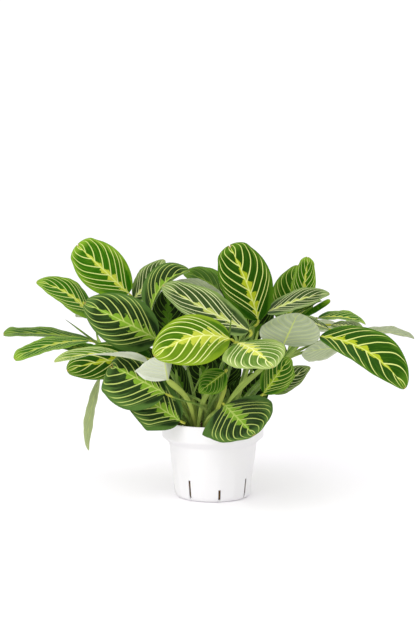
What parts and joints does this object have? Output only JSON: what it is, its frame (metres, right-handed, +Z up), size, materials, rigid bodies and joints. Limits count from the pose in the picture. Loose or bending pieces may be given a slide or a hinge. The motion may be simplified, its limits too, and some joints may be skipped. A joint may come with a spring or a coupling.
{
  "type": "potted prayer plant",
  "caption": "Prayer plant with broad, feather-patterned green leaves on arching shoots, growing in soil in a round white slotted nursery pot that rests flat.",
  "frame": {"origin": "centre of the pot's flat underside, on the surface it stands on", "axes": "+Z up, -Y the plant's front, +X to the viewer's right"},
  "size_m": [0.5066, 0.3398, 0.3196],
  "materials": {
    "pot_plastic": "satin, faintly translucent white",
    "soil": "rough, crumbly peat",
    "stem": "satin",
    "leaf_lime": "satin",
    "leaf_mid": "satin",
    "leaf_dark": "satin",
    "leaf_pale": "matt"
  },
  "bodies": {
    "root": {"pot": "pot_plastic", "soil": "soil", "shoot_far_left": "stem", "shoot_front_left": "stem", "shoot_upper_left": "stem", "shoot_front_middle": "stem", "shoot_crown": "stem", "shoot_front_right": "stem", "shoot_far_right": "stem", "shoot_back_left": "stem", "shoot_back_right": "stem", "leaf_top_left": "leaf_lime", "leaf_high_left": "leaf_lime", "leaf_reach_left": "leaf_mid", "leaf_low_left": "leaf_mid", "leaf_small_left": "leaf_mid", "leaf_big_left": "leaf_dark", "leaf_pale_left": "leaf_pale", "leaf_shade_left": "leaf_dark", "leaf_front_left": "leaf_dark", "leaf_rim_left": "leaf_dark", "leaf_hanging": "leaf_pale", "leaf_turned_away": "leaf_pale", "leaf_crown_a": "leaf_dark", "leaf_crown_b": "leaf_dark", "leaf_crown_c": "leaf_dark", "leaf_crown_d": "leaf_pale", "leaf_crown_e": "leaf_mid", "leaf_crown_f": "leaf_dark", "leaf_tall": "leaf_dark", "leaf_striped": "leaf_dark", "leaf_bright": "leaf_lime", "leaf_facing_up": "leaf_lime", "leaf_young": "leaf_mid", "leaf_over_rim": "leaf_dark", "leaf_inner_left": "leaf_dark", "leaf_inner_right": "leaf_dark", "leaf_back_crown": "leaf_mid", "leaf_top_right": "leaf_lime", "leaf_grey": "leaf_dark", "leaf_small_right": "leaf_lime", "leaf_underside": "leaf_pale", "leaf_behind": "leaf_pale", "leaf_edge_on": "leaf_mid", "leaf_upper_right": "leaf_mid", "leaf_drooping": "leaf_dark", "leaf_far_right": "leaf_pale", "leaf_under_right": "leaf_pale", "leaf_low_right": "leaf_mid", "leaf_shade_right": "leaf_dark", "leaf_back_a": "leaf_mid", "leaf_back_b": "leaf_dark", "leaf_back_c": "leaf_lime", "leaf_back_d": "leaf_dark", "leaf_back_e": "leaf_mid", "leaf_back_f": "leaf_dark", "leaf_back_g": "leaf_dark", "spear_right": "leaf_mid"}
  },
  "joints": []
}
